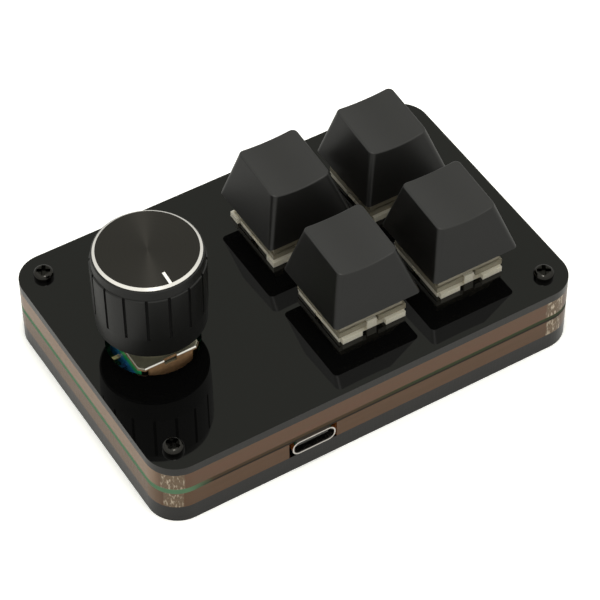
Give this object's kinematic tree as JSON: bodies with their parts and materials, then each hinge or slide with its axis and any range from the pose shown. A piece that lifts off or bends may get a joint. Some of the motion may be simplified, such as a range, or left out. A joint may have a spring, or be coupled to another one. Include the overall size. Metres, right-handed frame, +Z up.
{
  "type": "macro keypad with a knob",
  "caption": "Small layered acrylic keypad with sprung sculpted keys, a push-and-turn knob and a cable socket in its front edge.",
  "frame": {"origin": "middle of the case's underside", "axes": "+X along the case from the knob to the keys, +Y away from the cable socket, +Z up"},
  "size_m": [0.088, 0.0584, 0.0379],
  "materials": {
    "acrylic_black": "polished black acrylic, laser-cut edges",
    "acrylic_clear": "clear acrylic with laser-cut edges, smoky brown from outside",
    "board": "green solder mask",
    "screw": "black zinc heads, bright threads",
    "nut": "zinc plated",
    "switch_housing": "translucent off-white moulding",
    "switch_stem": "plain moulding",
    "spring": "plain wire",
    "contact": "stamped",
    "keycap": "fine-textured black",
    "encoder_housing": "green moulding",
    "encoder_bracket": "stamped, bronze passivated",
    "encoder_metal": "turned",
    "shaft": "turned",
    "rotor": "moulded",
    "knob_black": "satin black moulding",
    "knob_disc": "spun black anodised face with a bright cut chamfer",
    "pointer": "pale filled line",
    "socket_shell": "plated pressing",
    "socket_insert": "black moulding",
    "chip": "moulded package",
    "small_parts": "ceramic"
  },
  "bodies": {
    "case": {"bottom_plate": "acrylic_black", "lower_spacer": "acrylic_clear", "circuit_board": "board", "upper_spacer": "acrylic_clear", "top_plate": "acrylic_black", "case_screws": "screw", "case_nuts": "nut", "encoder_housing": "encoder_housing", "encoder_bracket": "encoder_bracket", "encoder_bushing": "encoder_metal", "encoder_dome": "encoder_metal", "encoder_pins": "encoder_metal", "usb_socket_shell": "socket_shell", "usb_socket_insert": "socket_insert", "controller_chip": "chip", "board_small_parts": "small_parts", "switch_base_left_back": "switch_housing", "switch_top_left_back": "switch_housing", "switch_spring_left_back": "spring", "switch_contacts_left_back": "contact", "switch_base_right_back": "switch_housing", "switch_top_right_back": "switch_housing", "switch_spring_right_back": "spring", "switch_contacts_right_back": "contact", "switch_base_left_front": "switch_housing", "switch_top_left_front": "switch_housing", "switch_spring_left_front": "spring", "switch_contacts_left_front": "contact", "switch_base_right_front": "switch_housing", "switch_top_right_front": "switch_housing", "switch_spring_right_front": "spring", "switch_contacts_right_front": "contact"},
    "knob": {"knob_body": "knob_black", "knob_disc": "knob_disc", "knob_pointer": "pointer", "encoder_shaft": "shaft", "encoder_rotor": "rotor"},
    "knob_press_carrier": {"encoder_plunger": "rotor"},
    "key_left_back": {"keycap_left_back": "keycap", "switch_stem_left_back": "switch_stem"},
    "key_right_back": {"keycap_right_back": "keycap", "switch_stem_right_back": "switch_stem"},
    "key_left_front": {"keycap_left_front": "keycap", "switch_stem_left_front": "switch_stem"},
    "key_right_front": {"keycap_right_front": "keycap", "switch_stem_right_front": "switch_stem"}
  },
  "joints": [
    {"name": "press_left_back", "type": "slide", "parent": "case", "child": "key_left_back", "axis": [0, 0, -1], "range_m": [0, 0.004], "stiffness_N_per_m": 75, "springref_m": -0.004, "deforming": ["switch_spring_left_back"]},
    {"name": "press_right_back", "type": "slide", "parent": "case", "child": "key_right_back", "axis": [0, 0, -1], "range_m": [0, 0.004], "stiffness_N_per_m": 75, "springref_m": -0.004, "deforming": ["switch_spring_right_back"]},
    {"name": "press_left_front", "type": "slide", "parent": "case", "child": "key_left_front", "axis": [0, 0, -1], "range_m": [0, 0.004], "stiffness_N_per_m": 75, "springref_m": -0.004, "deforming": ["switch_spring_left_front"]},
    {"name": "press_right_front", "type": "slide", "parent": "case", "child": "key_right_front", "axis": [0, 0, -1], "range_m": [0, 0.004], "stiffness_N_per_m": 75, "springref_m": -0.004, "deforming": ["switch_spring_right_front"]},
    {"name": "knob_press", "type": "slide", "parent": "case", "child": "knob_press_carrier", "axis": [0, 0, -1], "range_m": [0, 0.0005], "stiffness_N_per_m": 3000, "springref_m": -0.0008},
    {"name": "knob_turn", "type": "hinge", "parent": "knob_press_carrier", "child": "knob", "pos_m": [-0.0295, 0, 0.0155], "axis": [0, 0, 1], "continuous": true}
  ]
}
